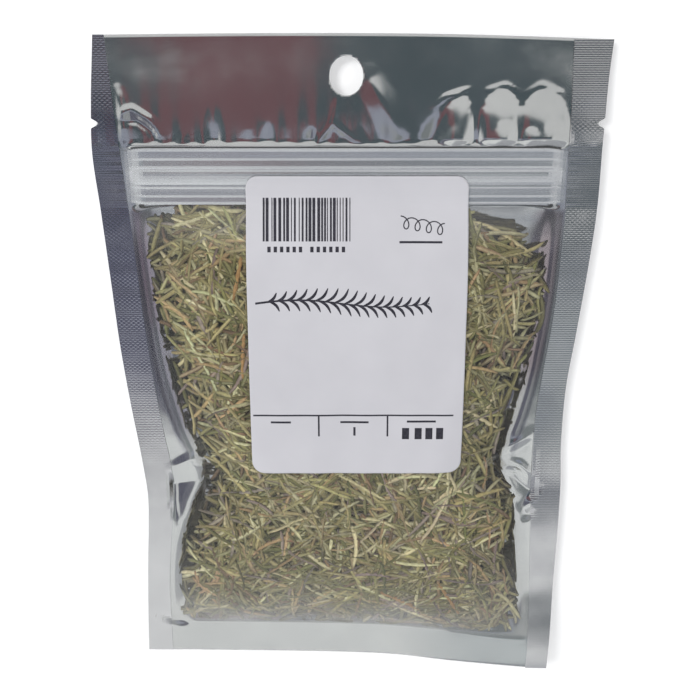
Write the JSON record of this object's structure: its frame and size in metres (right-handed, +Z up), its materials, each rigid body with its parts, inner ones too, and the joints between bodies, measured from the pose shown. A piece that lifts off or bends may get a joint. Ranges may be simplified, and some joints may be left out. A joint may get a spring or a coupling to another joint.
{
  "type": "filled zip pouch of dried rosemary leaves",
  "caption": "Flat heat-sealed pouch with clear front, silver back, press-to-close strip, hang hole and blank-printed label, full of dried needle leaves.",
  "frame": {"origin": "middle of the footprint, on the surface that the pouch lies on", "axes": "+Z up out of the clear front film, +Y towards the header and its hang hole, +X towards the reader's right"},
  "size_m": [0.1301, 0.181, 0.0127],
  "materials": {
    "metallised_film": "satin metallised plastic film, lightly crinkled",
    "clear_film": "glossy clear film with creases and a little haze",
    "zip_plastic": "translucent extruded strip",
    "label_paper": null,
    "leaf_bed": "packed dried leaves, matt",
    "leaf_green": "dried leaf, olive green, matt",
    "leaf_khaki": "dried leaf, khaki, matt",
    "leaf_brown": "dried leaf, brown, matt",
    "stem_bark": "dry woody stem"
  },
  "bodies": {
    "root": {"back_film": "metallised_film", "front_film": "clear_film", "leaf_01": "leaf_green", "leaf_02": "leaf_khaki", "leaf_03": "leaf_brown", "leaf_04": "leaf_green", "leaf_05": "leaf_khaki", "leaf_06": "leaf_brown", "leaf_07": "leaf_green", "leaf_08": "leaf_khaki", "leaf_09": "leaf_brown", "leaf_10": "leaf_green", "leaf_11": "leaf_khaki", "leaf_12": "leaf_brown", "leaf_13": "leaf_green", "leaf_14": "leaf_khaki", "leaf_15": "leaf_brown", "leaf_16": "leaf_green", "leaf_17": "leaf_khaki", "leaf_18": "leaf_brown", "leaf_19": "leaf_green", "leaf_20": "leaf_khaki", "leaf_21": "leaf_brown", "leaf_22": "leaf_green", "leaf_23": "leaf_khaki", "leaf_24": "leaf_brown", "leaf_25": "leaf_green", "leaf_26": "leaf_khaki", "leaf_27": "leaf_brown", "leaf_28": "leaf_green", "leaf_29": "leaf_khaki", "leaf_30": "leaf_brown", "leaf_31": "leaf_green", "leaf_32": "leaf_khaki", "leaf_33": "leaf_brown", "leaf_34": "leaf_green", "leaf_35": "leaf_khaki", "leaf_36": "leaf_brown", "leaf_37": "leaf_green", "leaf_38": "leaf_khaki", "leaf_39": "leaf_brown", "leaf_40": "leaf_green", "leaf_41": "leaf_khaki", "leaf_42": "leaf_brown", "leaf_43": "leaf_green", "leaf_44": "leaf_khaki", "leaf_45": "leaf_brown", "leaf_46": "leaf_green", "leaf_bed": "leaf_bed", "paper_label": "label_paper", "stem_bit_01": "stem_bark", "stem_bit_02": "stem_bark", "stem_bit_03": "stem_bark", "stem_bit_04": "stem_bark", "zip_groove_strip": "zip_plastic", "zip_rib_strip": "zip_plastic"}
  },
  "joints": []
}
